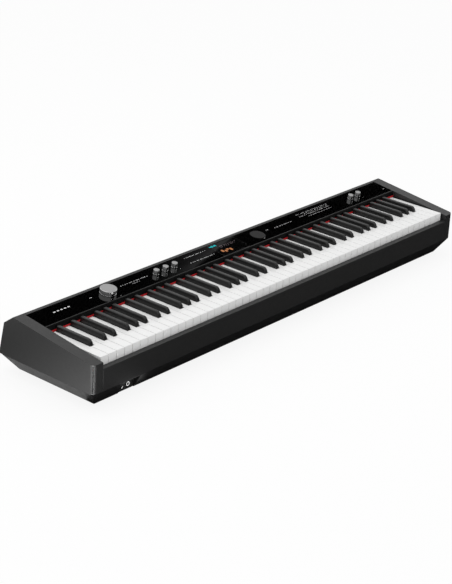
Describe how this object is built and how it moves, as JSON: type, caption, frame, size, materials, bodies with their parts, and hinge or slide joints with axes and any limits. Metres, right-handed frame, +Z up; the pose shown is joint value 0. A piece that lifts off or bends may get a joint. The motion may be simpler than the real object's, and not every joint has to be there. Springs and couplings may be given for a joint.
{
  "type": "digital piano",
  "caption": "Slim free-standing digital stage piano: full-size hinged keys, sloped glossy control panel with turning knobs and colour display, on a tapered tray.",
  "frame": {"origin": "on the floor plane that the rubber feet rest on, under the middle of the case", "axes": "+X along the keyboard from bass to treble, +Y from the player to the rear, +Z up"},
  "size_m": [1.289, 0.2804, 0.148],
  "materials": {
    "shell": "fine moulded texture, charcoal",
    "frame": "satin black",
    "gloss": "high-gloss black",
    "ivory": "semi-gloss white",
    "ebony": "satin black",
    "felt": "red felt",
    "steel": "zinc-plated sheet",
    "chrome": "bright plated",
    "dial": "dark grey satin",
    "board": "green solder mask",
    "display": "dark display glass",
    "rubber": "black rubber"
  },
  "bodies": {
    "case": {"bottom_tray": "shell", "contact_board": "board", "display_module": "display", "felt_strip": "felt", "foot_front_left": "rubber", "foot_front_right": "rubber", "foot_rear_left": "rubber", "foot_rear_right": "rubber", "front_rail": "shell", "glossy_panel": "gloss", "headphone_jack_left": "frame", "headphone_jack_right": "frame", "key_chassis": "steel", "key_pivot_rod": "steel", "key_stop_felt": "felt", "left_end_cheek": "shell", "line_output_jacks": "frame", "main_board": "board", "panel_board": "board", "panel_frame": "frame", "pedal_jack": "frame", "power_inlet": "frame", "rear_cover": "shell", "right_end_cheek": "shell"},
    "key_a3": {"key_a3": "ivory"},
    "key_a4": {"key_a4": "ivory"},
    "key_a_sharp3": {"key_a_sharp3": "ebony"},
    "key_a_sharp4": {"key_a_sharp4": "ebony"},
    "key_b3": {"key_b3": "ivory"},
    "key_b4": {"key_b4": "ivory"},
    "key_c3": {"key_c3": "ivory"},
    "key_c4": {"key_c4": "ivory"},
    "key_c_sharp3": {"key_c_sharp3": "ebony"},
    "key_c_sharp4": {"key_c_sharp4": "ebony"},
    "key_d3": {"key_d3": "ivory"},
    "key_d4": {"key_d4": "ivory"},
    "key_d_sharp3": {"key_d_sharp3": "ebony"},
    "key_d_sharp4": {"key_d_sharp4": "ebony"},
    "key_e3": {"key_e3": "ivory"},
    "key_e4": {"key_e4": "ivory"},
    "key_f3": {"key_f3": "ivory"},
    "key_f4": {"key_f4": "ivory"},
    "key_f_sharp3": {"key_f_sharp3": "ebony"},
    "key_f_sharp4": {"key_f_sharp4": "ebony"},
    "key_g3": {"key_g3": "ivory"},
    "key_g4": {"key_g4": "ivory"},
    "key_g_sharp3": {"key_g_sharp3": "ebony"},
    "key_g_sharp4": {"key_g_sharp4": "ebony"},
    "low_white_keys": {"low_white_keys": "ivory"},
    "low_black_keys": {"low_black_keys": "ebony"},
    "high_white_keys": {"high_white_keys": "ivory"},
    "high_black_keys": {"high_black_keys": "ebony"},
    "volume_knob": {"volume_knob": "chrome"},
    "effect_knob_1": {"effect_knob_1": "chrome"},
    "effect_knob_2": {"effect_knob_2": "chrome"},
    "effect_knob_3": {"effect_knob_3": "chrome"},
    "tone_knob_1": {"tone_knob_1": "chrome"},
    "tone_knob_2": {"tone_knob_2": "chrome"},
    "data_wheel": {"data_wheel": "dial"},
    "power_button": {"power_button": "frame"}
  },
  "joints": [
    {"name": "key_a3_press", "type": "hinge", "parent": "case", "child": "key_a3", "pos_m": [0, 0.0789, 0.1019], "axis": [1, 0, 0], "range_deg": [0, 2.78], "stiffness_Nm_per_rad": 0.4, "springref_deg": -25.78},
    {"name": "key_a4_press", "type": "hinge", "parent": "case", "child": "key_a4", "pos_m": [0, 0.0789, 0.1019], "axis": [1, 0, 0], "range_deg": [0, 2.78], "stiffness_Nm_per_rad": 0.4, "springref_deg": -25.78},
    {"name": "key_a_sharp3_press", "type": "hinge", "parent": "case", "child": "key_a_sharp3", "pos_m": [0, 0.0789, 0.1019], "axis": [1, 0, 0], "range_deg": [0, 2.78], "stiffness_Nm_per_rad": 0.25, "springref_deg": -25.78},
    {"name": "key_a_sharp4_press", "type": "hinge", "parent": "case", "child": "key_a_sharp4", "pos_m": [0, 0.0789, 0.1019], "axis": [1, 0, 0], "range_deg": [0, 2.78], "stiffness_Nm_per_rad": 0.25, "springref_deg": -25.78},
    {"name": "key_b3_press", "type": "hinge", "parent": "case", "child": "key_b3", "pos_m": [0, 0.0789, 0.1019], "axis": [1, 0, 0], "range_deg": [0, 2.78], "stiffness_Nm_per_rad": 0.4, "springref_deg": -25.78},
    {"name": "key_b4_press", "type": "hinge", "parent": "case", "child": "key_b4", "pos_m": [0, 0.0789, 0.1019], "axis": [1, 0, 0], "range_deg": [0, 2.78], "stiffness_Nm_per_rad": 0.4, "springref_deg": -25.78},
    {"name": "key_c3_press", "type": "hinge", "parent": "case", "child": "key_c3", "pos_m": [0, 0.0789, 0.1019], "axis": [1, 0, 0], "range_deg": [0, 2.78], "stiffness_Nm_per_rad": 0.4, "springref_deg": -25.78},
    {"name": "key_c4_press", "type": "hinge", "parent": "case", "child": "key_c4", "pos_m": [0, 0.0789, 0.1019], "axis": [1, 0, 0], "range_deg": [0, 2.78], "stiffness_Nm_per_rad": 0.4, "springref_deg": -25.78},
    {"name": "key_c_sharp3_press", "type": "hinge", "parent": "case", "child": "key_c_sharp3", "pos_m": [0, 0.0789, 0.1019], "axis": [1, 0, 0], "range_deg": [0, 2.78], "stiffness_Nm_per_rad": 0.25, "springref_deg": -25.78},
    {"name": "key_c_sharp4_press", "type": "hinge", "parent": "case", "child": "key_c_sharp4", "pos_m": [0, 0.0789, 0.1019], "axis": [1, 0, 0], "range_deg": [0, 2.78], "stiffness_Nm_per_rad": 0.25, "springref_deg": -25.78},
    {"name": "key_d3_press", "type": "hinge", "parent": "case", "child": "key_d3", "pos_m": [0, 0.0789, 0.1019], "axis": [1, 0, 0], "range_deg": [0, 2.78], "stiffness_Nm_per_rad": 0.4, "springref_deg": -25.78},
    {"name": "key_d4_press", "type": "hinge", "parent": "case", "child": "key_d4", "pos_m": [0, 0.0789, 0.1019], "axis": [1, 0, 0], "range_deg": [0, 2.78], "stiffness_Nm_per_rad": 0.4, "springref_deg": -25.78},
    {"name": "key_d_sharp3_press", "type": "hinge", "parent": "case", "child": "key_d_sharp3", "pos_m": [0, 0.0789, 0.1019], "axis": [1, 0, 0], "range_deg": [0, 2.78], "stiffness_Nm_per_rad": 0.25, "springref_deg": -25.78},
    {"name": "key_d_sharp4_press", "type": "hinge", "parent": "case", "child": "key_d_sharp4", "pos_m": [0, 0.0789, 0.1019], "axis": [1, 0, 0], "range_deg": [0, 2.78], "stiffness_Nm_per_rad": 0.25, "springref_deg": -25.78},
    {"name": "key_e3_press", "type": "hinge", "parent": "case", "child": "key_e3", "pos_m": [0, 0.0789, 0.1019], "axis": [1, 0, 0], "range_deg": [0, 2.78], "stiffness_Nm_per_rad": 0.4, "springref_deg": -25.78},
    {"name": "key_e4_press", "type": "hinge", "parent": "case", "child": "key_e4", "pos_m": [0, 0.0789, 0.1019], "axis": [1, 0, 0], "range_deg": [0, 2.78], "stiffness_Nm_per_rad": 0.4, "springref_deg": -25.78},
    {"name": "key_f3_press", "type": "hinge", "parent": "case", "child": "key_f3", "pos_m": [0, 0.0789, 0.1019], "axis": [1, 0, 0], "range_deg": [0, 2.78], "stiffness_Nm_per_rad": 0.4, "springref_deg": -25.78},
    {"name": "key_f4_press", "type": "hinge", "parent": "case", "child": "key_f4", "pos_m": [0, 0.0789, 0.1019], "axis": [1, 0, 0], "range_deg": [0, 2.78], "stiffness_Nm_per_rad": 0.4, "springref_deg": -25.78},
    {"name": "key_f_sharp3_press", "type": "hinge", "parent": "case", "child": "key_f_sharp3", "pos_m": [0, 0.0789, 0.1019], "axis": [1, 0, 0], "range_deg": [0, 2.78], "stiffness_Nm_per_rad": 0.25, "springref_deg": -25.78},
    {"name": "key_f_sharp4_press", "type": "hinge", "parent": "case", "child": "key_f_sharp4", "pos_m": [0, 0.0789, 0.1019], "axis": [1, 0, 0], "range_deg": [0, 2.78], "stiffness_Nm_per_rad": 0.25, "springref_deg": -25.78},
    {"name": "key_g3_press", "type": "hinge", "parent": "case", "child": "key_g3", "pos_m": [0, 0.0789, 0.1019], "axis": [1, 0, 0], "range_deg": [0, 2.78], "stiffness_Nm_per_rad": 0.4, "springref_deg": -25.78},
    {"name": "key_g4_press", "type": "hinge", "parent": "case", "child": "key_g4", "pos_m": [0, 0.0789, 0.1019], "axis": [1, 0, 0], "range_deg": [0, 2.78], "stiffness_Nm_per_rad": 0.4, "springref_deg": -25.78},
    {"name": "key_g_sharp3_press", "type": "hinge", "parent": "case", "child": "key_g_sharp3", "pos_m": [0, 0.0789, 0.1019], "axis": [1, 0, 0], "range_deg": [0, 2.78], "stiffness_Nm_per_rad": 0.25, "springref_deg": -25.78},
    {"name": "key_g_sharp4_press", "type": "hinge", "parent": "case", "child": "key_g_sharp4", "pos_m": [0, 0.0789, 0.1019], "axis": [1, 0, 0], "range_deg": [0, 2.78], "stiffness_Nm_per_rad": 0.25, "springref_deg": -25.78},
    {"name": "low_white_keys_press", "type": "hinge", "parent": "case", "child": "low_white_keys", "pos_m": [0, 0.0789, 0.1019], "axis": [1, 0, 0], "range_deg": [0, 2.78], "stiffness_Nm_per_rad": 6.4, "springref_deg": -25.78},
    {"name": "low_black_keys_press", "type": "hinge", "parent": "case", "child": "low_black_keys", "pos_m": [0, 0.0789, 0.1019], "axis": [1, 0, 0], "range_deg": [0, 2.78], "stiffness_Nm_per_rad": 2.75, "springref_deg": -25.78},
    {"name": "high_white_keys_press", "type": "hinge", "parent": "case", "child": "high_white_keys", "pos_m": [0, 0.0789, 0.1019], "axis": [1, 0, 0], "range_deg": [0, 2.78], "stiffness_Nm_per_rad": 8.8, "springref_deg": -25.78},
    {"name": "high_black_keys_press", "type": "hinge", "parent": "case", "child": "high_black_keys", "pos_m": [0, 0.0789, 0.1019], "axis": [1, 0, 0], "range_deg": [0, 2.78], "stiffness_Nm_per_rad": 3.75, "springref_deg": -25.78},
    {"name": "volume_knob_turn", "type": "hinge", "parent": "case", "child": "volume_knob", "pos_m": [-0.4, 0.05985, 0.13394], "axis": [0, -0.1252, 0.9921], "range_deg": [-150, 150]},
    {"name": "effect_knob_1_turn", "type": "hinge", "parent": "case", "child": "effect_knob_1", "pos_m": [-0.2475, 0.05985, 0.13394], "axis": [0, -0.1252, 0.9921], "range_deg": [-150, 150]},
    {"name": "effect_knob_2_turn", "type": "hinge", "parent": "case", "child": "effect_knob_2", "pos_m": [-0.2175, 0.05985, 0.13394], "axis": [0, -0.1252, 0.9921], "range_deg": [-150, 150]},
    {"name": "effect_knob_3_turn", "type": "hinge", "parent": "case", "child": "effect_knob_3", "pos_m": [-0.1875, 0.05985, 0.13394], "axis": [0, -0.1252, 0.9921], "range_deg": [-150, 150]},
    {"name": "tone_knob_1_turn", "type": "hinge", "parent": "case", "child": "tone_knob_1", "pos_m": [0.4735, 0.05985, 0.13394], "axis": [0, -0.1252, 0.9921], "range_deg": [-150, 150]},
    {"name": "tone_knob_2_turn", "type": "hinge", "parent": "case", "child": "tone_knob_2", "pos_m": [0.5035, 0.05985, 0.13394], "axis": [0, -0.1252, 0.9921], "range_deg": [-150, 150]},
    {"name": "data_wheel_turn", "type": "hinge", "parent": "case", "child": "data_wheel", "pos_m": [0.1075, 0.05985, 0.13394], "axis": [0, -0.1252, 0.9921], "continuous": true},
    {"name": "power_button_push", "type": "slide", "parent": "case", "child": "power_button", "axis": [0, -1, 0], "range_m": [0, 0.002], "stiffness_N_per_m": 400, "springref_m": -0.002}
  ]
}
